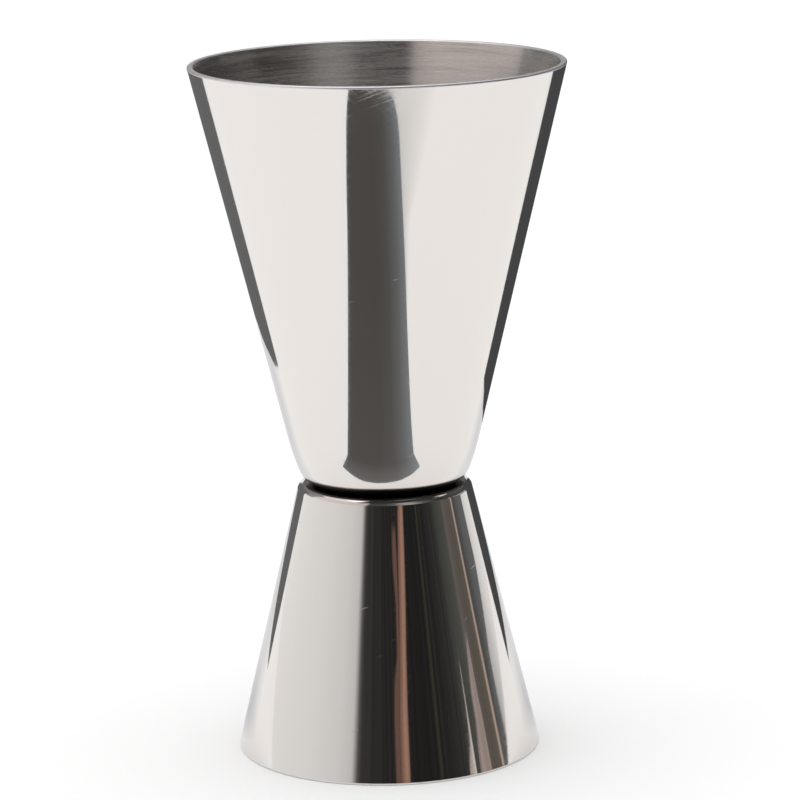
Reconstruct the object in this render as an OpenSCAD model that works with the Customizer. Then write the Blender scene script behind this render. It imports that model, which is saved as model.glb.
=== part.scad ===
// Bar jigger: a large and a small measuring cup of drawn steel, spot welded floor to floor.
// It stands on the rim of the small cup. Millimetres, +Z up, origin at the centre of that rim.

/* [Large cup] */
// Height of the large cup, from the joint to its rim
large_h = 54.6; // [35:0.2:80]
// Outer diameter of the large cup at its rim
large_rim_d = 48.6; // [36:0.2:70]
// Outer diameter of the large cup at the joint, if its bend were sharp
large_floor_d = 22; // [18:0.1:30]
// Outer radius of the tight bend around the large cup's floor
large_bend_r = 2.8; // [1.2:0.1:3.6]
// Outer radius of the gentle bend between that tight bend and the wall
large_sweep_r = 37; // [10:1:45]
// Angle that the gentle bend turns through
large_sweep_turn = 7; // [2:0.5:9]

/* [Small cup] */
// Height of the small cup, from the joint to its rim
small_h = 35.4; // [25:0.2:60]
// Outer diameter of the small cup at its rim
small_rim_d = 39.6; // [30:0.2:60]
// Outer diameter of the small cup at the joint, if its bend were sharp
small_floor_d = 22.4; // [18:0.1:30]
// Outer radius of the bend between the small cup's floor and wall, which has no gentle bend
small_bend_r = 1.1; // [1.1:0.1:3.4]

/* [Sheet] */
// Thickness of the steel sheet
sheet_t = 0.8; // [0.6:0.05:1.0]
// Radius that rounds both edges of each rim
lip_r = 0.25; // [0.1:0.01:0.27]

/* [Spot welds] */
// Number of spot welds between the two floors
weld_count = 4; // [3:1:4]
// Diameter of the fused metal of one weld
nugget_d = 3.6; // [2.4:0.1:4.4]
// Share of each sheet's thickness that the fused metal reaches into
nugget_reach = 0.6; // [0.3:0.05:0.7]
// Diameter of the dent that each electrode leaves on a floor
dent_d = 4.4; // [3:0.1:5]
// Depth of that dent
dent_depth = 0.08; // [0.04:0.01:0.12]
// Gap between a dent and the bend around the floor
dent_gap = 0.9; // [0.3:0.1:1.5]

/* [Hidden] */
$fn = 96;
// Overshoot of a cut past the face that it opens
eps = 0.2;
// Share of a dent's diameter that its sloping edge takes on each side
dent_slope = 0.1;
weld_first_angle = 45;
steel = "gainsboro";
weld_steel = "dimgray";

WELDS = [for (i = [1 : weld_count]) str("weld_nugget_", i)];

// Height of the plane where the two floors touch
joint_z = small_h;

// Angle between a cup's wall and its axis
function wall_lean(floor_d, rim_d, h) = atan((rim_d - floor_d) / (2 * h));

// How far from a sharp corner, along the level, a rounding of radius r starts
function setback(r, lean) = r * cos(lean) / (1 + sin(lean));

// How far from a rim's sharp outer edge the centre of its rounding is
function lip_setback(r, lean) = r * (1 + sin(lean)) / cos(lean);

// Radius of the flat part of a cup's floor, inside its tight bend and its gentle bend
function flat_r(floor_d, rim_d, h, bend_r, sweep_r, sweep_turn) =
    let (lean = wall_lean(floor_d, rim_d, h))
        floor_d / 2 + bend_r * tan(lean)
            - (sweep_r - (sweep_r - bend_r) * cos(sweep_turn)) / cos(lean);

large_flat_r =
    flat_r(large_floor_d, large_rim_d, large_h, large_bend_r, large_sweep_r, large_sweep_turn);
small_flat_r = flat_r(small_floor_d, small_rim_d, small_h, small_bend_r, small_bend_r, 0);

// The welds sit on a circle that keeps each dent on the flat of both floors
weld_circle_r = min(large_flat_r, small_flat_r) - dent_gap - dent_d / 2;
nugget_depth = nugget_reach * sheet_t;
// Radius of the dome that is nugget_d across and nugget_depth high
nugget_dome_r = (pow(nugget_d / 2, 2) + pow(nugget_depth, 2)) / (2 * nugget_depth);

// Unit vector out of a wall that leans by this angle
function outward(lean) = [cos(lean), -sin(lean)];

// Everything inside one face of a cup's sheet, from foot on the floor's middle out to the wall and top
module filled_outline(foot, bend, bend_r, sweep, sweep_r, leans, top) {
    in_sweep = bend_r / 2;
    union() {
        polygon(concat(
            [foot, [bend.x, foot.y], bend + bend_r * outward(leans[1])],
            sweep_r > bend_r ? [sweep + sweep_r * outward(leans[0])] : [],
            top
        ));
        translate(bend) circle(bend_r);
        if (sweep_r > bend_r) intersection() {
            translate(sweep) circle(sweep_r);
            polygon([
                sweep + (sweep_r - in_sweep) * outward(leans[1]), sweep + 1.1 * sweep_r * outward(leans[1]),
                sweep + 1.1 * sweep_r * outward(leans[0]), sweep + (sweep_r - in_sweep) * outward(leans[0])
            ]);
        }
    }
}

// Outline of a cup's sheet on one side of the axis, with its floor's underside at y = 0
module sheet_outline(floor_d, rim_d, h, bend_r, sweep_r, sweep_turn) {
    lean = wall_lean(floor_d, rim_d, h);
    leans = [lean, lean + sweep_turn];
    across = outward(lean);
    bend = [flat_r(floor_d, rim_d, h, bend_r, sweep_r, sweep_turn), bend_r];
    sweep = bend - (sweep_r - bend_r) * outward(leans[1]);
    outer_lip = [rim_d / 2 - lip_setback(lip_r, lean), h - lip_r];
    inner_lip = [rim_d / 2 - sheet_t / cos(lean) + setback(lip_r, lean), h - lip_r];

    difference() {
        filled_outline([0, 0], bend, bend_r, sweep, sweep_r, leans,
            [outer_lip + lip_r * across, [outer_lip.x, h], [0, h]]);
        filled_outline([-eps, sheet_t], bend, bend_r - sheet_t, sweep, sweep_r - sheet_t, leans,
            [inner_lip - lip_r * across, [inner_lip.x, h], [inner_lip.x, h + eps], [-eps, h + eps]]);
    }
    translate(outer_lip) circle(lip_r);
    translate(inner_lip) circle(lip_r);
}

// A cup that stands on its floor at z = 0
module cup(floor_d, rim_d, h, bend_r, sweep_r, sweep_turn) {
    rotate_extrude() sheet_outline(floor_d, rim_d, h, bend_r, sweep_r, sweep_turn);
}

// Centre of weld number i, from 1
module at_weld(i) {
    rotate([0, 0, weld_first_angle + (i - 1) * 360 / weld_count])
        translate([weld_circle_r, 0, 0])
            children();
}

// Everything that the welding takes out of a floor whose underside is at z = 0
module weld_cuts() {
    for (i = [1 : weld_count]) at_weld(i) {
        translate([0, 0, nugget_depth - nugget_dome_r]) sphere(nugget_dome_r);
        translate([0, 0, sheet_t - dent_depth]) dent();
    }
}

// Shallow round dent with a sloping edge, from its bottom at z = 0
module dent() {
    foot_d = dent_d * (1 - 2 * dent_slope);
    rise = (dent_depth + eps) / dent_depth;
    cylinder(h = dent_depth + eps, d1 = foot_d, d2 = foot_d + (dent_d - foot_d) * rise);
}

module large_cup() {
    color(steel)
        translate([0, 0, joint_z])
            difference() {
                cup(large_floor_d, large_rim_d, large_h, large_bend_r, large_sweep_r, large_sweep_turn);
                weld_cuts();
            }
}

module small_cup() {
    color(steel)
        translate([0, 0, joint_z])
            mirror([0, 0, 1])
                difference() {
                    cup(small_floor_d, small_rim_d, small_h, small_bend_r, small_bend_r, 0);
                    weld_cuts();
                }
}

// Lens of fused metal that fills the facing pockets of both floors
module weld_nugget(i) {
    color(weld_steel)
        at_weld(i)
            intersection() {
                translate([0, 0, joint_z + nugget_depth - nugget_dome_r]) sphere(nugget_dome_r);
                translate([0, 0, joint_z - nugget_depth + nugget_dome_r]) sphere(nugget_dome_r);
            }
}

large_cup();
small_cup();
for (i = [1 : weld_count])
    weld_nugget(i);
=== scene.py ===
"""Bar jigger: two drawn steel cups welded floor to floor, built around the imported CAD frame."""

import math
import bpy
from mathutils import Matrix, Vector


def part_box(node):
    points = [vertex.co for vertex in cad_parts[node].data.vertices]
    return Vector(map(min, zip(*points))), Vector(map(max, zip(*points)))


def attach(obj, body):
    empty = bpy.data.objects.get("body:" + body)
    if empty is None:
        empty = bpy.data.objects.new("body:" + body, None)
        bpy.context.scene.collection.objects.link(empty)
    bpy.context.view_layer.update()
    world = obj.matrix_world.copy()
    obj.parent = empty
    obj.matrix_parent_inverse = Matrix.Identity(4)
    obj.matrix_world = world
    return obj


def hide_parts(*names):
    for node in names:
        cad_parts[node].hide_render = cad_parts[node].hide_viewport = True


bl_info = {
    "name": "Bar jigger",
    "version": (1, 0, 0),
    "blender": (4, 5, 0),
    "location": "View3D > Sidebar > Jigger",
    "description": "Builds a polished two-ended bar jigger and a small studio around it",
    "category": "Add Mesh",
}

import bpy
import numpy as np
from bpy.props import FloatProperty, FloatVectorProperty, IntProperty, PointerProperty
from bpy.types import Operator, Panel, PropertyGroup
from mathutils import Matrix

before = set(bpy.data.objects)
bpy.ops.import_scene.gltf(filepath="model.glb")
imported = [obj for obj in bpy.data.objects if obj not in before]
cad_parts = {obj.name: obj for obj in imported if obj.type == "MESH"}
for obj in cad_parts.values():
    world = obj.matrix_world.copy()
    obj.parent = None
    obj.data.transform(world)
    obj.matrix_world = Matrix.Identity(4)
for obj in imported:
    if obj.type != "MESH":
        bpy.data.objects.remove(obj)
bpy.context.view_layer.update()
JOINT_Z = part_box("small_cup")[1].z
WELDS = sorted(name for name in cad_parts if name.startswith("weld_nugget_"))


# Material bands of a cup, in the order of its material slots
OUTSIDE, RIM, INSIDE = 0, 1, 2

# Times that the rim's sharp corner is worked out again from the last result
RIM_TRIALS = 6

# Points along each stretch of a cup's profile
FLAT_STEPS, BEND_STEPS, SWEEP_STEPS, WALL_STEPS = 14, 20, 10, 44
LIP_STEPS, EDGE_STEPS = 8, 4
INNER_BEND_STEPS, INNER_FLAT_STEPS = 14, 90

# The dents: turn of the first one, and the share of its radius that slopes
FIRST_DENT_TURN = math.radians(45)
DENT_SLOPE = 0.2

# The ring of heat around a dent: its radius and width, as shares of the dent's diameter
HEAT_RADIUS, HEAT_WIDTH = 0.42, 0.24

# Heat above which the floor may slope, so that the profile's own normals no longer hold
HEAT_AT_SLOPE = 0.02

# The outside is laid flat at this radius for the marks on it, in metres
USUAL_RADIUS = 0.014

# Painted shade in the crevice: the steel near the joint is painted nearly black for the shade
# of the deep groove between the cups. In metres: how far it climbs above the joint, and on the
# two flats the radius that it covers and the further distance over which it ends
CREVICE_SHADE_CLIMB = 0.0014
CREVICE_SHADE_RADIUS, CREVICE_SHADE_END = 0.0082, 0.0012
CREVICE_SHADE_COLOUR = (0.035, 0.03, 0.027)

# Below this height above the joint a point counts as part of the flats, in metres
LEVEL = 0.00001

# Points along and across the meshes of the cards and the floor
ARC_ROWS, ARC_COLUMNS = 65, 97
STRIP_ROWS, STRIP_COLUMNS = 257, 49
FENCE_ROWS, FENCE_COLUMNS = 17, 49
FLOOR_LINES = 13

# The room's light: its strength, and the softbox's width in metres, power in watts and height
ROOM_STRENGTH = 0.95
SOFTBOX_WIDTH, SOFTBOX_POWER, SOFTBOX_HEIGHT = 1.6, 6.0, 1.5


# Sizes and colours that a user would change


class JiggerCups(PropertyGroup):
    """Sizes of the two drawn cups, beyond what their boxes in the frame give."""

    sheet: FloatProperty(
        name="Sheet",
        description="Thickness of the steel",
        default=0.0008,
        unit="LENGTH",
    )
    lip_radius: FloatProperty(
        name="Lip radius",
        description="Radius that rounds both edges of each rim",
        default=0.00025,
        unit="LENGTH",
    )
    large_floor: FloatProperty(
        name="Large floor",
        description="Diameter of the large cup at the joint, if its bend were sharp",
        default=0.0220,
        unit="LENGTH",
    )
    large_bend: FloatProperty(
        name="Large bend",
        description="Outer radius of the tight bend around the large cup's floor",
        default=0.0028,
        unit="LENGTH",
    )
    large_sweep: FloatProperty(
        name="Large sweep",
        description="Outer radius of the gentle bend between the tight bend and the wall",
        default=0.037,
        unit="LENGTH",
    )
    large_sweep_turn: FloatProperty(
        name="Large sweep turn",
        description="Angle that the gentle bend turns through",
        default=math.radians(7),
        unit="ROTATION",
    )
    small_floor: FloatProperty(
        name="Small floor",
        description="Diameter of the small cup at the joint, if its bend were sharp",
        default=0.0224,
        unit="LENGTH",
    )
    small_bend: FloatProperty(
        name="Small bend",
        description="Outer radius of the small cup's bend",
        default=0.0011,
        unit="LENGTH",
    )
    dent_diameter: FloatProperty(
        name="Dent",
        description="Diameter of an electrode's dent",
        default=0.0044,
        unit="LENGTH",
    )
    dent_depth: FloatProperty(
        name="Dent depth",
        description="Depth of that dent",
        default=0.00008,
        unit="LENGTH",
    )
    dent_gap: FloatProperty(
        name="Dent gap",
        description="Gap between a dent and the bend around the floor",
        default=0.0009,
        unit="LENGTH",
    )
    segments: IntProperty(
        name="Segments", description="Steps around the axis", default=240, min=48, max=360
    )


class JiggerSteel(PropertyGroup):
    """Finish of the steel."""

    colour: FloatVectorProperty(
        name="Steel",
        description="Reflection colour of the steel",
        subtype="COLOR",
        default=(0.755, 0.718, 0.690),
        min=0.0,
        max=1.0,
    )
    polish: FloatProperty(
        name="Polish", description="Roughness of the polished outside", default=0.025
    )
    brush: FloatProperty(
        name="Brush", description="Roughness of the brushed inside", default=0.27
    )


class JiggerStudio(PropertyGroup):
    """Floor, cards and camera."""

    floor_colour: FloatVectorProperty(
        name="Floor",
        description="Colour of the floor",
        subtype="COLOR",
        default=(0.95, 0.95, 0.95),
        min=0.0,
        max=1.0,
    )
    floor_size: FloatProperty(
        name="Floor size",
        description="Half the width of the floor",
        default=6.0,
        unit="LENGTH",
    )
    wall_radius: FloatProperty(
        name="Wall radius",
        description="Radius of the curved studio wall",
        default=0.4,
        unit="LENGTH",
    )
    camera_distance: FloatProperty(
        name="Camera distance",
        description="Level distance from the axis to the camera",
        default=0.49204,
        unit="LENGTH",
    )
    camera_height: FloatProperty(
        name="Camera height", description="Height of the camera", default=0.15139, unit="LENGTH"
    )
    camera_down: FloatProperty(
        name="Camera down",
        description="Angle that the camera looks down",
        default=math.radians(12.096),
        unit="ROTATION",
    )
    camera_turn: FloatProperty(
        name="Camera turn",
        description="Angle that the camera looks to the right",
        default=math.radians(0.254),
        unit="ROTATION",
    )
    camera_roll: FloatProperty(
        name="Camera roll",
        description="Tilt of the picture",
        default=math.radians(-1.031),
        unit="ROTATION",
    )
    lens: FloatProperty(
        name="Lens", description="Focal length", default=174.608, unit="CAMERA"
    )


# Profiles and surfaces


def line(start, end, count):
    """Points from start towards end, bunched at both ends by a cosine to keep the shading true.

    The end itself is left to the next stretch. The normal is on the line's right-hand side.
    """
    start, end = np.array(start), np.array(end)
    share = 0.5 - 0.5 * np.cos(np.pi * np.arange(count) / count)
    points = start + (end - start) * share[:, None]
    along = (end - start) / np.linalg.norm(end - start)
    normals = np.repeat([[along[1], -along[0]]], count, axis=0)
    return points, normals


def arc(centre, radius, first, last, count, inside=1.0):
    """Points on a circle from angle first towards last.

    inside is 1 for normals away from the centre and -1 for normals towards it.
    """
    angles = first + (last - first) * np.arange(count) / count
    out = np.stack([np.cos(angles), np.sin(angles)], axis=1)
    return np.array(centre) + radius * out, inside * out


def sharp_rim(box_radius, floor_radius, height, lip):
    """Radius of the rim's sharp corner, by repeated trial from the radius of the rounded one."""
    rim = box_radius
    for _ in range(RIM_TRIALS):
        lean = math.atan((rim - floor_radius) / height)
        rim = box_radius + lip * ((1 + math.sin(lean)) / math.cos(lean) - 1)
    return rim


def cup_profile(
    box_radius, floor_radius, height, bend_radius, sweep_radius, sweep_turn, sheet, lip
):
    """Half outline of a cup that stands on its floor, and the radius of that floor's flat part.

    The outline is radius and height with a normal per point, and a finish per point but the last.
    It runs from the underside's centre round the tight bend and the gentle sweep, up the wall, over
    the rim and down inside to the middle of the floor.
    """
    rim = sharp_rim(box_radius, floor_radius, height, lip)
    lean = math.atan((rim - floor_radius) / height)
    setback = math.cos(lean) / (1 + math.sin(lean))
    turned = lean + sweep_turn
    across = np.array([math.cos(lean), -math.sin(lean)])
    past = np.array([math.cos(turned), -math.sin(turned)])
    reach = sweep_radius - (sweep_radius - bend_radius) * math.cos(sweep_turn)
    flat = floor_radius + bend_radius * math.tan(lean) - reach / math.cos(lean)
    bend = np.array([flat, bend_radius])
    sweep = bend - (sweep_radius - bend_radius) * past
    inner_bend, inner_sweep = bend_radius - sheet, sweep_radius - sheet
    outer_lip = np.array([rim - lip / setback, height - lip])
    inner_lip = np.array([rim - sheet / math.cos(lean) + lip * setback, height - lip])
    down, up = -math.pi / 2, math.pi / 2
    sweep_steps = SWEEP_STEPS if sweep_turn else 0
    stretches = [
        (OUTSIDE, line((0, 0), (flat, 0), FLAT_STEPS)),
        (OUTSIDE, arc(bend, bend_radius, down, -turned, BEND_STEPS)),
        (OUTSIDE, arc(sweep, sweep_radius, -turned, -lean, sweep_steps)),
        (OUTSIDE, line(sweep + sweep_radius * across, outer_lip + lip * across, WALL_STEPS)),
        (RIM, arc(outer_lip, lip, -lean, up, LIP_STEPS)),
        (RIM, line((outer_lip[0], height), (inner_lip[0], height), EDGE_STEPS)),
        (RIM, arc(inner_lip, lip, up, math.pi - lean, LIP_STEPS)),
        (INSIDE, line(inner_lip - lip * across, sweep + inner_sweep * across, WALL_STEPS)),
        (INSIDE, arc(sweep, inner_sweep, -lean, -turned, sweep_steps, inside=-1.0)),
        (INSIDE, arc(bend, inner_bend, -turned, down, INNER_BEND_STEPS, inside=-1.0)),
        (INSIDE, line((flat, sheet), (0, sheet), INNER_FLAT_STEPS)),
    ]
    points = np.concatenate([run[0] for _, run in stretches] + [[(0, sheet)]])
    normals = np.concatenate([run[1] for _, run in stretches] + [[(0, 1)]])
    finish = np.concatenate([np.full(len(run[0]), look) for look, run in stretches])
    return points, normals, finish, flat


def dent_pattern(x, y, circle, diameter, depth):
    """How far the floor is pressed in at x, y, and how strong the heat around the dents is there.

    Each dent is flat in the middle, with a smooth slope at its edge.
    """
    pressed = np.zeros_like(x)
    heat = np.zeros_like(x)
    for k in range(len(WELDS)):
        angle = FIRST_DENT_TURN + k * 2 * math.pi / len(WELDS)
        away = np.hypot(x - circle * math.cos(angle), y - circle * math.sin(angle))
        slope = np.clip((diameter / 2 - away) / (DENT_SLOPE * diameter / 2), 0, 1)
        pressed = np.maximum(pressed, depth * slope * slope * (3 - 2 * slope))
        off_ring = (away - HEAT_RADIUS * diameter) / (HEAT_WIDTH * diameter)
        heat = np.maximum(heat, np.exp(-(off_ring**2)))
    return pressed, heat


def revolve(name, profile, normals, finish, direction, weld_circle, cups):
    """A closed turned surface with one point at each pole, and dents pressed into its inner floor.

    A point is (r cos a, r sin a, joint + direction * z) for a profile point (r, z) and a turn a.
    direction is 1 for a cup that opens upwards and -1 for one that opens downwards.
    """
    segments = cups.segments
    turns = 2 * np.pi * np.arange(segments) / segments
    ring, depth = profile[1:-1], len(profile) - 2
    x = ring[:, :1] * np.cos(turns)
    y = ring[:, :1] * np.sin(turns)
    z = np.repeat(ring[:, 1:], segments, axis=1)
    pressed, heat = dent_pattern(x, y, weld_circle, cups.dent_diameter, cups.dent_depth)
    on_floor = (np.abs(z - cups.sheet) < 0.001 * cups.sheet) & (finish[1:, None] == INSIDE)
    z = z - np.where(on_floor, pressed, 0)
    heat = np.where(on_floor, heat, 0)

    n = np.stack(
        [
            normals[1:-1, :1] * np.cos(turns),
            normals[1:-1, :1] * np.sin(turns),
            direction * np.repeat(normals[1:-1, 1:], segments, axis=1),
        ],
        axis=-1,
    )
    co = np.stack([x, y, JOINT_Z + direction * z], axis=-1).reshape(-1, 3)
    poles = [(0, 0, JOINT_Z + direction * profile[end, 1]) for end in (0, -1)]
    co = np.concatenate([co, poles])
    first_pole, last_pole = len(co) - 2, len(co) - 1

    here = np.arange(depth * segments).reshape(depth, segments)
    there = np.roll(here, -1, axis=1)
    quads = np.stack([here[:-1], there[:-1], there[1:], here[1:]], axis=-1).reshape(-1, 4)
    fan_in = np.stack([np.full(segments, first_pole), there[0], here[0]], axis=-1)
    fan_out = np.stack([np.full(segments, last_pole), here[-1], there[-1]], axis=-1)
    if direction < 0:
        quads, fan_in, fan_out = quads[:, ::-1], fan_in[:, ::-1], fan_out[:, ::-1]

    mesh = bpy.data.meshes.new(name)
    mesh.from_pydata(co, [], quads.tolist() + fan_in.tolist() + fan_out.tolist())
    bands = np.concatenate([finish[1:-1], finish[:1], finish[-1:]]).repeat(segments)
    mesh.polygons.foreach_set("material_index", bands.astype(np.int32))
    mesh.polygons.foreach_set("use_smooth", np.ones(len(bands), dtype=bool))
    layer = mesh.attributes.new("heat", "FLOAT", "POINT")
    layer.data.foreach_set("value", np.append(heat.ravel(), (0, 0)).astype(np.float32))
    mesh.update()
    true_normals = np.concatenate([n.reshape(-1, 3), [(0, 0, -direction), (0, 0, direction)]])
    sloped = np.append((heat > HEAT_AT_SLOPE).ravel(), (False, False))
    smooth = np.empty(len(co) * 3, dtype=np.float32)
    mesh.vertex_normals.foreach_get("vector", smooth)
    true_normals[sloped] = smooth.reshape(-1, 3)[sloped]
    mesh.normals_split_custom_set_from_vertices(true_normals.tolist())
    piece = bpy.data.objects.new(name, mesh)
    bpy.context.collection.objects.link(piece)
    return piece


def sheet_surface(name, points):
    """A grid of points, rows by columns, as one surface with a UV map from 0 to 1 both ways."""
    rows, columns = points.shape[:2]
    index = np.arange(rows * columns).reshape(rows, columns)
    faces = np.stack([index[:-1, :-1], index[:-1, 1:], index[1:, 1:], index[1:, :-1]], axis=-1)
    mesh = bpy.data.meshes.new(name)
    mesh.from_pydata(points.reshape(-1, 3), [], faces.reshape(-1, 4).tolist())
    v, u = np.meshgrid(np.linspace(0, 1, rows), np.linspace(0, 1, columns), indexing="ij")
    uv = np.stack([u, v], axis=-1).reshape(-1, 2)[faces.reshape(-1)]
    mesh.uv_layers.new(name="across").data.foreach_set("uv", uv.ravel().astype(np.float32))
    mesh.polygons.foreach_set("use_smooth", np.ones(len(mesh.polygons), dtype=bool))
    mesh.update()
    made = bpy.data.objects.new(name, mesh)
    bpy.context.collection.objects.link(made)
    return made


# Materials


class Nodes:
    """Adds shader nodes to a material and links them."""

    def __init__(self, name):
        self.material = bpy.data.materials.new(name)
        self.material.use_nodes = True
        self.tree = self.material.node_tree
        self.tree.nodes.clear()
        self.output = self.tree.nodes.new("ShaderNodeOutputMaterial")

    def add(self, kind, settings=None, **inputs):
        """A node with its settings, and each input given as a number, a colour or another socket.

        An input goes by its name, or as s and its place in the list where names are shared.
        """
        node = self.tree.nodes.new("ShaderNode" + kind)
        for key, value in (settings or {}).items():
            setattr(node, key, value)
        for key, value in inputs.items():
            name = key.replace("_", " ")
            socket = node.inputs[int(name[1:]) if name[1:].isdigit() else name]
            if isinstance(value, bpy.types.NodeSocket):
                self.tree.links.new(value, socket)
            else:
                socket.default_value = value
        return node

    def math(self, operation, first, second=0.0, third=0.0):
        """One step of arithmetic."""
        made = self.add("Math", {"operation": operation}, s0=first, s1=second, s2=third)
        return made.outputs[0]

    def plus(self, first, second):
        """The sum of two colours."""
        return self.add("VectorMath", {"operation": "ADD"}, s0=first, s1=second).outputs[0]

    def mix(self, factor, first, second, blend="MIX"):
        """The second colour laid over the first as strongly as the factor says."""
        settings = {"data_type": "RGBA", "blend_type": blend}
        return self.add("Mix", settings, s0=factor, s6=first, s7=second).outputs[2]

    def ramp(self, factor, stops):
        """A colour ramp with (place, value) stops, where a value is a grey level or a colour."""
        node = self.add("ValToRGB", Fac=factor)
        elements = node.color_ramp.elements
        while len(elements) < len(stops):
            elements.new(1.0)
        for element, (place, value) in zip(elements, stops):
            element.position = place
            element.color = (*(value if isinstance(value, tuple) else (value,) * 3), 1.0)
        return node.outputs["Color"]

    def noise(self, vector, scale, detail, roughness=0.5, turn=0.0):
        """Noise on coordinates that are turned about Z, then scaled along each axis."""
        turned = self.add("Mapping", Vector=vector, Rotation=(0, 0, turn)).outputs["Vector"]
        sized = self.add("Mapping", Vector=turned, Scale=scale).outputs["Vector"]
        made = self.add("TexNoise", Vector=sized, Scale=1.0, Detail=detail, Roughness=roughness)
        return made.outputs["Fac"]

    def bump(self, height, strength, distance):
        """The surface's direction, tipped by a height pattern."""
        made = self.add("Bump", Strength=strength, Distance=distance, Height=height)
        return made.outputs["Normal"]

    def place(self):
        """Coordinates on the object, in metres."""
        return self.add("TexCoord").outputs["Object"]

    def split(self, vector):
        """The X, Y and Z of a vector."""
        return self.add("SeparateXYZ", Vector=vector).outputs

    def from_axis(self, split):
        """Distance from the axis."""
        squares = self.math("MULTIPLY", split["Y"], split["Y"])
        return self.math("SQRT", self.math("MULTIPLY_ADD", split["X"], split["X"], squares))

    def metal(self, **inputs):
        """A metal surface."""
        return self.add("BsdfPrincipled", Metallic=1.0, **inputs)

    def finish(self, shader):
        """The material, with this shader as its surface."""
        self.tree.links.new(shader.outputs[0], self.output.inputs["Surface"])
        return self.material


def scaled(colour, share):
    """A colour with each channel multiplied by a share."""
    return tuple(channel * share for channel in colour)


def unrolled(m, place):
    """The outside laid flat: distance around the axis from the front, and height."""
    split = m.split(place)
    turn = m.math("ARCTAN2", split["X"], m.math("MULTIPLY", split["Y"], -1.0))
    return m.add("CombineXYZ", X=m.math("MULTIPLY", turn, USUAL_RADIUS), Y=split["Z"]).outputs[0]


def crevice_shade_mask(m, place):
    """Where the crevice's shade is painted: 1 around the joint and 0 elsewhere, with a short change
    between the two.
    """
    split = m.split(place)
    above = m.math("SUBTRACT", split["Z"], JOINT_Z)
    beyond = m.math(
        "MULTIPLY_ADD", m.from_axis(split), 1 / CREVICE_SHADE_END, -CREVICE_SHADE_RADIUS / CREVICE_SHADE_END
    )
    on_flats = m.math("MULTIPLY", beyond, m.math("LESS_THAN", above, LEVEL))
    gap = m.math("MAXIMUM", m.math("MULTIPLY", above, 1 / CREVICE_SHADE_CLIMB), on_flats)
    return m.ramp(gap, [(0.80, 1.0), (1.0, 0.0)])


def polished_steel(steel):
    """Mirror polish with faint waves, crossed hairlines, short marks and painted shade in the
    crevice.
    """
    m = Nodes("steel_polished_outside")
    place = m.place()
    flat = unrolled(m, place)
    clouds = m.noise(place, (60, 60, 35), 3.0)
    waves = m.noise(place, (90, 90, 30), 1.0)
    ripple = m.noise(flat, (420, 900, 1), 2.0, turn=0.3)
    hair_up = m.noise(flat, (260, 5200, 1), 2.0, turn=-0.62)
    hair_down = m.noise(flat, (320, 6400, 1), 2.0, turn=0.95)
    marks = m.noise(flat, (420, 4200, 1), 0.0, turn=-0.3)
    hair_up = m.ramp(hair_up, [(0.47, 0.0), (0.66, 1.0)])
    hair_down = m.ramp(hair_down, [(0.49, 0.0), (0.68, 0.8)])
    lines = m.math("MAXIMUM", hair_up, hair_down)
    # Painted shade: the crevice's steel is made nearly black and rougher, for the shade of the deep
    # groove
    crevice_shade = crevice_shade_mask(m, place)

    rough = steel.polish
    for mask, added in (
        (lines, 0.05),
        (m.ramp(marks, [(0.83, 0.0), (0.86, 1.0)]), 0.2),
        (m.ramp(clouds, [(0.4, 0.0), (0.7, 1.0)]), 0.01),
        (crevice_shade, 0.35),
    ):
        rough = m.math("MULTIPLY_ADD", mask, added, rough)
    height = m.math("MULTIPLY_ADD", ripple, 0.035, waves)
    height = m.math("MULTIPLY_ADD", lines, -0.004, height)
    colour = m.mix(clouds, (*scaled(steel.colour, 0.985), 1), (*steel.colour, 1))
    # The crevice is painted nearly black here, as painted shade
    colour = m.mix(crevice_shade, colour, (*CREVICE_SHADE_COLOUR, 1))
    normal = m.bump(height, strength=0.05, distance=0.0003)
    return m.finish(m.metal(Base_Color=colour, Roughness=rough, Normal=normal))


def brushed_steel(steel):
    """Rings brushed around the axis, broken into streaks, with straw and blue tint at each weld."""
    m = Nodes("steel_brushed_inside")
    split = m.split(m.place())
    ring = m.math("ADD", m.from_axis(split), split["Z"])
    around = m.add("CombineXYZ", X=split["X"], Y=split["Y"], Z=ring).outputs[0]
    fine = m.noise(around, (90, 90, 2900), 3.0, 0.7)
    broad = m.noise(around, (45, 45, 1000), 2.0, 0.6)
    grain = m.math("MULTIPLY_ADD", fine, 0.6, m.math("MULTIPLY", broad, 0.4))
    dull = m.ramp(grain, [(0.35, 0.0), (0.65, 1.0)])
    rough = m.math("MULTIPLY_ADD", dull, 0.16, steel.brush - 0.08)
    streaks = m.ramp(grain, [(0.36, 0.60), (0.5, 0.86), (0.62, 1.0)])
    colour = m.mix(1.0, streaks, (*steel.colour, 1), blend="MULTIPLY")
    heat = m.add("Attribute", {"attribute_name": "heat"}).outputs["Fac"]
    straw, blue = (0.95, 0.86, 0.66), (0.62, 0.6, 0.7)
    tint = m.ramp(heat, [(0.0, (1.0, 1.0, 1.0)), (0.5, straw), (0.9, blue)])
    colour = m.mix(0.8, colour, tint, blend="MULTIPLY")
    normal = m.bump(grain, strength=0.35, distance=0.00004)
    shader = m.metal(
        Base_Color=colour,
        Roughness=rough,
        Normal=normal,
        Anisotropic=1.0,
        Anisotropic_Rotation=0.25,
    )
    return m.finish(shader)


def rim_steel(steel):
    """The cut edge of the rim, ground smooth around its length and a little paler."""
    m = Nodes("steel_rim_edge")
    marks = m.noise(m.place(), (700, 700, 5000), 3.0)
    rough = m.math("MULTIPLY_ADD", marks, 0.15, 0.36)
    pale = tuple(c * k for c, k in zip(steel.colour, (1.10, 1.12, 1.17)))
    shade = m.ramp(marks, [(0.3, scaled(pale, 0.92)), (0.7, pale)])
    normal = m.bump(marks, strength=0.15, distance=0.00002)
    return m.finish(m.metal(Base_Color=shade, Roughness=rough, Normal=normal))


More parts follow.
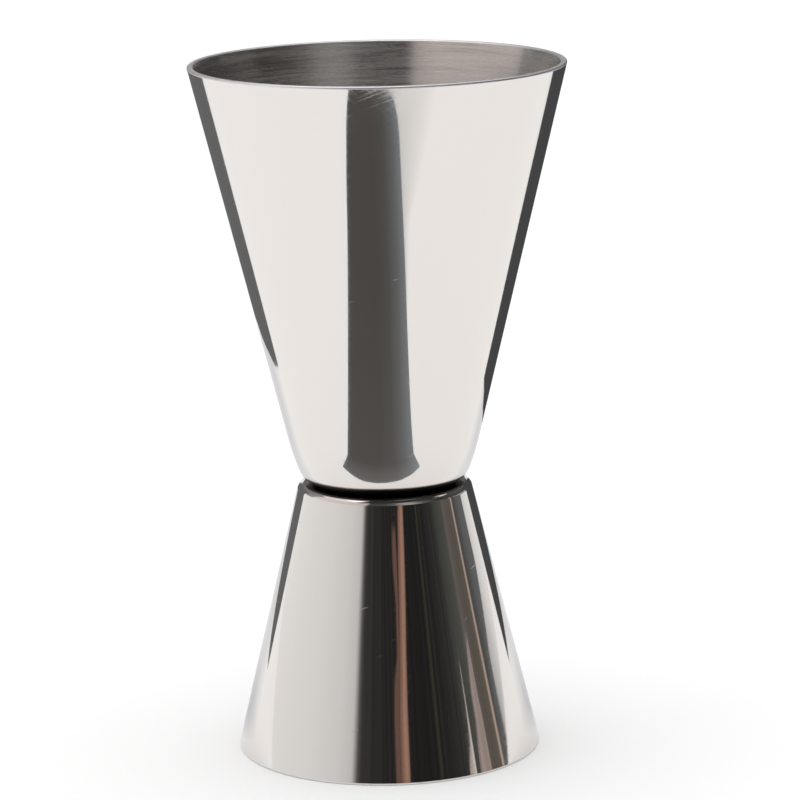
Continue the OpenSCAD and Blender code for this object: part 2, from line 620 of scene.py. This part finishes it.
def fused_steel(steel):
    """Dull, slightly grained metal that melted and set between the floors."""
    m = Nodes("steel_fused_weld")
    grain = m.noise(m.place(), (2500, 2500, 2500), 4.0, 0.6)
    shade = m.ramp(grain, [(0.3, scaled(steel.colour, 0.35)), (0.7, scaled(steel.colour, 0.6))])
    rough = m.math("MULTIPLY_ADD", grain, 0.2, 0.45)
    normal = m.bump(grain, strength=0.4, distance=0.00003)
    return m.finish(m.metal(Base_Color=shade, Roughness=rough, Normal=normal))


def plain_floor(studio):
    """Plain matt white board."""
    m = Nodes("floor_board")
    mottle = m.noise(m.place(), (6, 6, 6), 2.0)
    colour = tuple(studio.floor_colour)
    shade = m.ramp(mottle, [(0.3, scaled(colour, 0.99)), (0.7, colour)])
    return m.finish(m.add("BsdfPrincipled", Base_Color=shade, Roughness=0.9))


def card_paint(name, stops, streaks=0.0, near_glow=None, cover=None):
    """A lit card whose colour changes across its width, at the stops from 0 to 1.

    It can have fine streaks, a glow that is added from its near end to its far one, and a cover
    that says across its width how much of the card is there.
    """
    m = Nodes(name)
    uv = m.add("UVMap", {"uv_map": "across"}).outputs[0]
    split = m.split(uv)
    shade = m.ramp(split["X"], stops)
    if near_glow:
        shade = m.plus(shade, m.ramp(split["Y"], near_glow))
    if streaks:
        grain = m.noise(uv, (140, 1.2, 1), 3.0, 0.6)
        level = m.math("MULTIPLY", m.math("SUBTRACT", grain, 0.5), streaks)
        shade = m.plus(shade, m.add("CombineXYZ", X=level, Y=level, Z=level).outputs[0])
    lit = m.add("Emission", Color=shade, Strength=1.0)
    if cover is None:
        return m.finish(lit)
    clear = m.add("BsdfTransparent")
    there = m.ramp(split["X"], cover)
    return m.finish(m.add("MixShader", s0=there, s1=clear.outputs[0], s2=lit.outputs[0]))


# Operators


def cup_outline(node, cups):
    """The profile of the cup that stands in for a CAD node."""
    low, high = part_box(node)
    floor, bend, sweep, turn = {
        "large_cup": (cups.large_floor, cups.large_bend, cups.large_sweep, cups.large_sweep_turn),
        "small_cup": (cups.small_floor, cups.small_bend, cups.small_bend, 0.0),
    }[node]
    radius, height = (high.x - low.x) / 2, high.z - low.z
    return cup_profile(radius, floor / 2, height, bend, sweep, turn, cups.sheet, cups.lip_radius)


def build_cup(node, direction, context):
    """One cup as a closed turned surface in place of its CAD node."""
    cups, steel = context.scene.jigger_cups, context.scene.jigger_steel
    outlines = {name: cup_outline(name, cups) for name in ("large_cup", "small_cup")}
    flat = min(outline[-1] for outline in outlines.values())
    weld_circle = flat - cups.dent_gap - cups.dent_diameter / 2
    points, normals, finish, _ = outlines[node]
    piece = revolve(node + "_shell", points, normals, finish, direction, weld_circle, cups)
    for material in (polished_steel(steel), rim_steel(steel), brushed_steel(steel)):
        piece.data.materials.append(material)
    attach(piece, "root")
    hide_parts(node)


class JIGGER_OT_large_cup(Operator):
    """Build the large cup, which opens upwards"""

    bl_idname = "jigger.large_cup"
    bl_label = "Large cup"

    def execute(self, context):
        build_cup("large_cup", 1, context)
        return {"FINISHED"}


class JIGGER_OT_small_cup(Operator):
    """Build the small cup, which opens downwards"""

    bl_idname = "jigger.small_cup"
    bl_label = "Small cup"

    def execute(self, context):
        build_cup("small_cup", -1, context)
        return {"FINISHED"}


class JIGGER_OT_welds(Operator):
    """Give the weld nuggets their dull fused steel"""

    bl_idname = "jigger.welds"
    bl_label = "Welds"

    def execute(self, context):
        material = fused_steel(context.scene.jigger_steel)
        for name in WELDS:
            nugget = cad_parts[name]
            nugget.data.materials.clear()
            nugget.data.materials.append(material)
        return {"FINISHED"}


def resampled(rows, count):
    """Each column of the rows, read off at even steps from the first row to the last."""
    rows = np.array(rows)
    places = np.linspace(0, len(rows) - 1, count)
    return [np.interp(places, np.arange(len(rows)), column) for column in rows.T]


def painted_card(name, x, y, z, stops, **paint):
    """A card through a grid of points, with its paint."""
    card = sheet_surface(name, np.stack(np.broadcast_arrays(x, y, z), axis=-1))
    card.data.materials.append(card_paint(name + "_paint", stops, **paint))
    return card


def arc_card(name, outline, stops, **paint):
    """A card bent around the axis, from rows of its outline: height, radius, first and last angle.

    A point is (radius sin a, -radius cos a, z), with a in degrees to the right of the front.
    """
    height, radius, first, last = (column[:, None] for column in resampled(outline, ARC_ROWS))
    turn = np.radians(first + (last - first) * np.linspace(0, 1, ARC_COLUMNS))
    x, y = radius * np.sin(turn), -radius * np.cos(turn)
    return painted_card(name, x, y, height, stops, **paint)


def strip_card(name, outline, near_end, height, stops, **paint):
    """A flat card on the floor in front of the axis.

    Rows of its outline give distance, left edge and right edge. The near end gives the distance
    at which the card starts, at even steps from its left edge to its right one.
    """
    distances, lefts, rights = np.array(outline).T
    across = np.linspace(0, 1, STRIP_COLUMNS)
    start = np.interp(across, np.linspace(0, 1, len(near_end)), near_end)
    distance = start + (distances[-1] - start) * np.linspace(0, 1, STRIP_ROWS)[:, None]
    left = np.interp(distance, distances, lefts)
    right = np.interp(distance, distances, rights)
    x = left + (right - left) * across
    return painted_card(name, x, -distance, height, stops, **paint)


def fence_card(name, plan, top, stops):
    """A card that stands on the floor and follows a line of x and y."""
    x, y = resampled(plan, FENCE_COLUMNS)
    return painted_card(name, x, y, top * np.linspace(0, 1, FENCE_ROWS)[:, None], stops)


def only_in_reflections(card):
    """The card shows in the steel, and not to the camera or as light or shadow on the floor."""
    card.visible_camera = False
    card.visible_diffuse = False
    card.visible_shadow = False
    card.visible_transmission = False
    card.visible_volume_scatter = False


# Shades around the studio wall: degrees to the right of the front, and a grey level or a colour
WALL_SHADES = [
    (-134, 1.0), (-118, 0.96), (-88, 0.90), (-64, 0.855), (-40, 0.76), (-29, 0.66), (-24.6, 0.09),
    (-21, 0.040), (0, 0.024), (24, 0.018), (37.4, 0.020), (38.2, (0.052, 0.055, 0.038)),
    (39.2, (0.040, 0.042, 0.030)), (40.0, 0.020), (58, 0.036), (66, (0.064, 0.068, 0.062)),
    (75, (0.092, 0.096, 0.086)), (77, (0.150, 0.130, 0.118)), (84, (0.115, 0.102, 0.090)),
    (91.0, (0.130, 0.118, 0.100)), (92.0, (0.50, 0.40, 0.34)), (93.4, (0.50, 0.40, 0.34)),
    (94.4, (0.095, 0.096, 0.097)), (100.5, (0.14, 0.145, 0.15)), (103.5, 0.55), (112, 0.72),
    (118, 0.85), (134, 1.0),
]


# The same for the upper wall, which the inside of the large cup reflects in the front view
UPPER_SHADES = [
    (-111, (0.84, 0.77, 0.76)), (-88, (0.82, 0.75, 0.735)), (-64, (0.78, 0.71, 0.70)),
    (-40, (0.70, 0.64, 0.625)), (-27, (0.62, 0.56, 0.55)), (-22, 0.07), (0, 0.075), (12, 0.13),
    (22, 0.31), (31, 0.38), (41, 0.31), (52, 0.14), (63, 0.08), (76, 0.05), (84, 0.03),
]


# Shades across a card, from 0 at its first edge to 1 at its last
LEFT = [(0.0, (0.155, 0.157, 0.160)), (1.0, (0.142, 0.144, 0.150))]
RIGHT = [(0.0, (0.074, 0.076, 0.080)), (1.0, (0.058, 0.061, 0.066))]
FADE_LOW = [(0.0, 0.10), (0.2, 0.57), (0.35, 0.70), (0.5, 0.85), (1.0, 0.98)]
FADE_HIGH = [(0.0, 0.008), (0.4, 0.01), (0.8, 0.03), (1.0, 0.04)]
# A painted shadow: the jigger's shadow on the floor behind it, for the steel to reflect
FLOOR_SHADOW = [(0.0, (0.605, 0.62, 0.645)), (1.0, (0.605, 0.62, 0.645))]
CANOPY = [(0.0, 0.03), (1.0, 0.04)]
HIGH = [(0.0, 0.05), (0.5, 0.12), (0.85, 0.25), (1.0, 0.35)]
BLUE = [(0.0, (0.075, 0.076, 0.078)), (0.5, (0.135, 0.140, 0.145)), (1.0, (0.15, 0.155, 0.165))]
COPPER = [
    (0.0, (0.17, 0.10, 0.08)), (0.25, (0.27, 0.155, 0.12)), (0.6, (0.42, 0.245, 0.18)),
    (0.85, (0.34, 0.20, 0.15)), (1.0, (0.12, 0.075, 0.06)),
]
EDGE = [
    (0.0, (0.10, 0.06, 0.05)), (0.4, (0.17, 0.10, 0.08)), (0.9, (0.15, 0.09, 0.072)),
    (1.0, (0.03, 0.025, 0.02)),
]
PINK = [
    (0.0, (0.22, 0.19, 0.18)), (0.3, (0.42, 0.35, 0.33)), (0.7, (0.33, 0.27, 0.25)),
    (1.0, (0.40, 0.33, 0.31)),
]
PALE = [(0.0, (0.40, 0.34, 0.32)), (0.6, (0.55, 0.50, 0.47)), (1.0, (0.75, 0.72, 0.68))]
STRIP = [
    (0.0, (0.13, 0.14, 0.145)), (0.05, (0.088, 0.086, 0.084)), (0.5, (0.085, 0.082, 0.077)),
    (0.7, (0.10, 0.10, 0.096)), (0.85, (0.145, 0.152, 0.158)), (1.0, (0.22, 0.245, 0.265)),
]
# Painted shade: a faint grey on the floor to the right of the front strip, reflected in the steel
SOFT_SHADE = [(0.0, 0.05), (1.0, 0.05)]


# Glow added to a card, from 0 at its near end to 1 at its far one
# This glow lightens the painted floor shadow further away from the jigger
FLOOR_SHADOW_GLOW = [(0.0, 0.0), (0.2, 0.07), (0.4, 0.17), (0.6, 0.25), (0.8, 0.19), (1.0, 0.22)]
STRIP_GLOW = [
    (0.0, (0.085, 0.094, 0.100)), (0.05, 0.060), (0.12, 0.018), (0.34, 0.008), (0.55, 0.0),
]


# How much of a card is there, from 0 at its first edge to 1 at its last
# This cover fades the painted floor shadow out at its sides
FLOOR_SHADOW_COVER = [(0.0, 0.0), (0.15, 1.0), (0.85, 1.0), (1.0, 0.0)]
# How much of that painted shade is there across its width
SOFT_SHADE_COVER = [(0.0, 0.30), (0.25, 0.19), (0.6, 0.09), (1.0, 0.0)]


# Radii of the cards in front of the studio wall, in metres
HIGH_RADIUS, UPPER_RADIUS = 0.39, 0.396
COPPER_RADIUS, PINK_RADIUS, FADE_RADIUS, BLUE_RADIUS = 0.391, 0.392, 0.394, 0.395


# Heights of the cards' level edges, in metres
WALL_TOP, HIGH_TOP = 0.5, 0.42
MIDDLE_FOOT, UPPER_FOOT = 0.118, 0.148
FADE_FOOT, FADE_MIDDLE, FLAG_TOP = 0.0685, 0.072, 0.10
STRIP_HEIGHT, SOFT_SHADE_HEIGHT = 0.0004, 0.0002


# First and last angles of the cards that have level edges, in degrees
CANOPY_ANGLES = (-50, 112)
FADE_ANGLES = (115.5, 133)
MIDDLE_FIRST = 103


# The canopy narrows to this share of the wall's radius
CANOPY_SHARE = 0.3


# Rows of a card's outline: height and radius in metres, then first and last angle in degrees
# The painted shadow on the floor behind the jigger
FLOOR_SHADOW_OUTLINE = [
    (0.0003, 0.021, 95, 265), (0.0003, 0.040, 105, 255), (0.0003, 0.060, 115, 245),
    (0.0003, 0.085, 122, 238), (0.0003, 0.130, 128, 232), (0.0003, 0.600, 128, 232),
]


# Rows of a card's outline at one radius: height in metres, then first and last angle in degrees
COPPER_ROWS = [
    (0.060, 8.0, 15.0), (0.078, 8.5, 15.5), (0.091, 10.5, 16.8),
    (0.104, 12.0, 19.4), (0.113, 13.0, 20.9), (0.124, 15.0, 22.5),
    (0.128, 18.0, 23.5),
]
EDGE_ROWS = [
    (0.060, 4.2, 8.2), (0.078, 3.9, 8.6), (0.086, 4.8, 9.9),
    (0.0915, 8.0, 10.7), (0.104, 8.6, 11.4), (0.113, 6.4, 12.0),
    (0.121, 6.8, 11.6),
]
PINK_ROWS = [
    (0.0, 67.0, 81.0), (0.034, 70.6, 80.2), (0.038, 72.8, 79.6),
    (0.045, 73.0, 79.5), (0.052, 77.0, 79.6),
]
PALE_ROWS = [
    (0.0, 59.0, 67.0), (0.039, 61.0, 66.6), (0.042, 64.5, 66.6),
    (0.048, 65.6, 66.6), (0.058, 66.0, 66.5),
]
BLUE_ROWS = [
    (0.012, 94.4, 101.0), (0.019, 94.4, 103.0), (0.023, 94.4, 109.0),
    (0.027, 94.4, 113.0), (0.10, 94.4, 116.0),
]


# Lines of x and y on the floor, in metres, that the dark flags behind the jigger follow
LEFT_FLAG = [
    (-0.1065, 0.079), (-0.1015, 0.1015), (-0.097, 0.132), (-0.0895, 0.162), (-0.0835, 0.183),
    (-0.076, 0.215), (-0.065, 0.236),
]
RIGHT_FLAG = [
    (0.1005, 0.0788), (0.0983, 0.0823), (0.0893, 0.0971), (0.078, 0.1114), (0.069, 0.1254),
    (0.053, 0.146), (0.040, 0.162),
]


# Rows of a flat card's outline in metres: distance in front of the axis, left edge, right edge
STRIP_OUTLINE = [
    (0.0300, -0.0447, 0.0381), (0.040, -0.0445, 0.0377), (0.0465, -0.0452, 0.0371),
    (0.0535, -0.0456, 0.0365), (0.060, -0.0459, 0.0357), (0.080, -0.0467, 0.0354),
    (0.105, -0.0478, 0.0352), (0.120, -0.0490, 0.0338), (0.136, -0.0492, 0.0326),
    (0.142, -0.0480, 0.0306), (0.1475, -0.0452, 0.0258), (0.1505, -0.0390, 0.0190),
    (0.1525, -0.0300, 0.0090),
]
SOFT_SHADE_OUTLINE = [
    (0.090, 0.0350, 0.037), (0.110, 0.0345, 0.045), (0.125, 0.0330, 0.085), (0.1398, 0.0315, 0.125),
    (0.1525, 0.0050, 0.135), (0.165, -0.030, 0.135),
]


# Distances in front of the axis, in metres, at which a flat card starts, from left to right
STRIP_NEAR_END = [0.0313, 0.0332, 0.0351, 0.0374, 0.0388, 0.0390, 0.0379, 0.0366, 0.0360]
SOFT_SHADE_NEAR_END = [0.09]


def around_wall(shades):
    """Shades by angle, as stops from 0 to 1 and as the first and last angle."""
    first, last = shades[0][0], shades[-1][0]
    return [((a - first) / (last - first), shade) for a, shade in shades], (first, last)


def at_radius(radius, rows):
    """Rows of height, first and last angle, with the radius put in."""
    return [(height, radius, first, last) for height, first, last in rows]


def band(radius, low, high, angles):
    """Outline of a card with level edges, between two heights and two angles."""
    return at_radius(radius, [(low, *angles), (high, *angles)])


def wall_cards(radius):
    """The studio wall, and the cards that hang in front of it."""
    stops, angles = around_wall(WALL_SHADES)
    upper_stops, upper_angles = around_wall(UPPER_SHADES)
    high_first, high_last = upper_angles[1], upper_angles[0] + 360
    high = band(HIGH_RADIUS, UPPER_FOOT, HIGH_TOP, (high_first, high_last))
    middle = band(HIGH_RADIUS, MIDDLE_FOOT, UPPER_FOOT, (MIDDLE_FIRST, high_last))
    upper = band(UPPER_RADIUS, UPPER_FOOT, WALL_TOP, upper_angles)
    canopy = [(WALL_TOP, r, *CANOPY_ANGLES) for r in (radius, CANOPY_SHARE * radius)]
    fade_low = band(FADE_RADIUS, FADE_FOOT, FADE_MIDDLE, FADE_ANGLES)
    fade_high = band(FADE_RADIUS, FADE_MIDDLE, FLAG_TOP, FADE_ANGLES)
    return [
        arc_card("studio_wall", band(radius, 0.0, WALL_TOP, angles), stops, streaks=0.045),
        arc_card("canopy", canopy, CANOPY),
        arc_card("upper_wall", upper, upper_stops),
        arc_card("high_flag", high, HIGH),
        arc_card("middle_flag", middle, HIGH),
        arc_card("copper_strip", at_radius(COPPER_RADIUS, COPPER_ROWS), COPPER),
        arc_card("copper_edge", at_radius(COPPER_RADIUS, EDGE_ROWS), EDGE),
        arc_card("pink_strip", at_radius(PINK_RADIUS, PINK_ROWS), PINK),
        arc_card("pale_strip", at_radius(PINK_RADIUS, PALE_ROWS), PALE),
        arc_card("blue_strip", at_radius(BLUE_RADIUS, BLUE_ROWS), BLUE),
        arc_card("fade_low", fade_low, FADE_LOW),
        arc_card("fade_high", fade_high, FADE_HIGH),
    ]


def near_cards():
    """The cards that stand or lie close to the jigger."""
    return [
        fence_card("left_flag", LEFT_FLAG, FLAG_TOP, LEFT),
        fence_card("right_flag", RIGHT_FLAG, FLAG_TOP, RIGHT),
        # A painted shadow lying on the floor behind the jigger, seen only in the steel
        arc_card("back_floor_shadow", FLOOR_SHADOW_OUTLINE, FLOOR_SHADOW, near_glow=FLOOR_SHADOW_GLOW, cover=FLOOR_SHADOW_COVER),
        strip_card(
            "front_strip",
            STRIP_OUTLINE,
            STRIP_NEAR_END,
            STRIP_HEIGHT,
            STRIP,
            near_glow=STRIP_GLOW,
        ),
        # Painted shade on the floor beside the front strip's far end, seen only in the steel
        strip_card("soft_floor_shade", SOFT_SHADE_OUTLINE, SOFT_SHADE_NEAR_END, SOFT_SHADE_HEIGHT, SOFT_SHADE, cover=SOFT_SHADE_COVER),
    ]


class JIGGER_OT_studio(Operator):
    """Set up the floor, the cards that the steel reflects, the light and the camera"""

    bl_idname = "jigger.studio"
    bl_label = "Studio"

    def execute(self, context):
        studio = context.scene.jigger_studio
        grid = np.linspace(-studio.floor_size, studio.floor_size, FLOOR_LINES)
        x, y = np.meshgrid(grid, grid)
        floor = sheet_surface("studio_floor", np.stack([x, y, 0 * x], axis=-1))
        floor.data.materials.append(plain_floor(studio))
        for card in wall_cards(studio.wall_radius) + near_cards():
            only_in_reflections(card)
        light_the_room(context.scene)
        add_camera(context.scene, studio)
        return {"FINISHED"}


def light_the_room(scene):
    """Even white room light, with one wide soft light overhead."""
    world = bpy.data.worlds.new("white_room")
    world.use_nodes = True
    background = world.node_tree.nodes["Background"]
    background.inputs["Color"].default_value = (1.0, 1.0, 1.0, 1.0)
    background.inputs["Strength"].default_value = ROOM_STRENGTH
    scene.world = world
    lamp = bpy.data.lights.new("overhead_softbox", "AREA")
    lamp.shape = "DISK"
    lamp.size = SOFTBOX_WIDTH
    lamp.energy = SOFTBOX_POWER
    light = bpy.data.objects.new("overhead_softbox", lamp)
    light.location = (0.0, 0.0, SOFTBOX_HEIGHT)
    scene.collection.objects.link(light)
    scene.view_settings.view_transform = "Standard"


def add_camera(scene, studio):
    """A long lens in front of the jigger, looking slightly down on it."""
    lens = bpy.data.cameras.new("camera")
    lens.lens = studio.lens
    lens.sensor_width = 36.0
    lens.clip_start = 0.02
    lens.clip_end = 30.0
    camera = bpy.data.objects.new("camera", lens)
    turn = Matrix.Rotation(-studio.camera_turn, 4, "Z")
    tilt = Matrix.Rotation(math.pi / 2 - studio.camera_down, 4, "X")
    roll = Matrix.Rotation(studio.camera_roll, 4, "Z")
    place = Matrix.Translation((0.0, -studio.camera_distance, studio.camera_height))
    camera.matrix_world = place @ turn @ tilt @ roll
    scene.collection.objects.link(camera)
    scene.camera = camera


class JIGGER_PT_panel(Panel):
    """Steps that build the jigger and its studio"""

    bl_idname = "JIGGER_PT_panel"
    bl_label = "Bar jigger"
    bl_space_type = "VIEW_3D"
    bl_region_type = "UI"
    bl_category = "Jigger"

    def draw(self, context):
        for step in STEPS:
            self.layout.operator(step.bl_idname)
        for group in ("jigger_cups", "jigger_steel", "jigger_studio"):
            settings = getattr(context.scene, group)
            column = self.layout.column()
            for name in type(settings).__annotations__:
                column.prop(settings, name)


GROUPS = (JiggerCups, JiggerSteel, JiggerStudio)
STEPS = (JIGGER_OT_large_cup, JIGGER_OT_small_cup, JIGGER_OT_welds, JIGGER_OT_studio)


def register():
    for item in (*GROUPS, *STEPS, JIGGER_PT_panel):
        bpy.utils.register_class(item)
    bpy.types.Scene.jigger_cups = PointerProperty(type=JiggerCups)
    bpy.types.Scene.jigger_steel = PointerProperty(type=JiggerSteel)
    bpy.types.Scene.jigger_studio = PointerProperty(type=JiggerStudio)


def unregister():
    for group in ("jigger_studio", "jigger_steel", "jigger_cups"):
        delattr(bpy.types.Scene, group)
    for item in (JIGGER_PT_panel, *reversed(STEPS), *reversed(GROUPS)):
        bpy.utils.unregister_class(item)


def main():
    """Register the add-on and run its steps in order."""
    register()
    bpy.ops.jigger.large_cup()
    bpy.ops.jigger.small_cup()
    bpy.ops.jigger.welds()
    bpy.ops.jigger.studio()


if __name__ == "__main__":
    main()
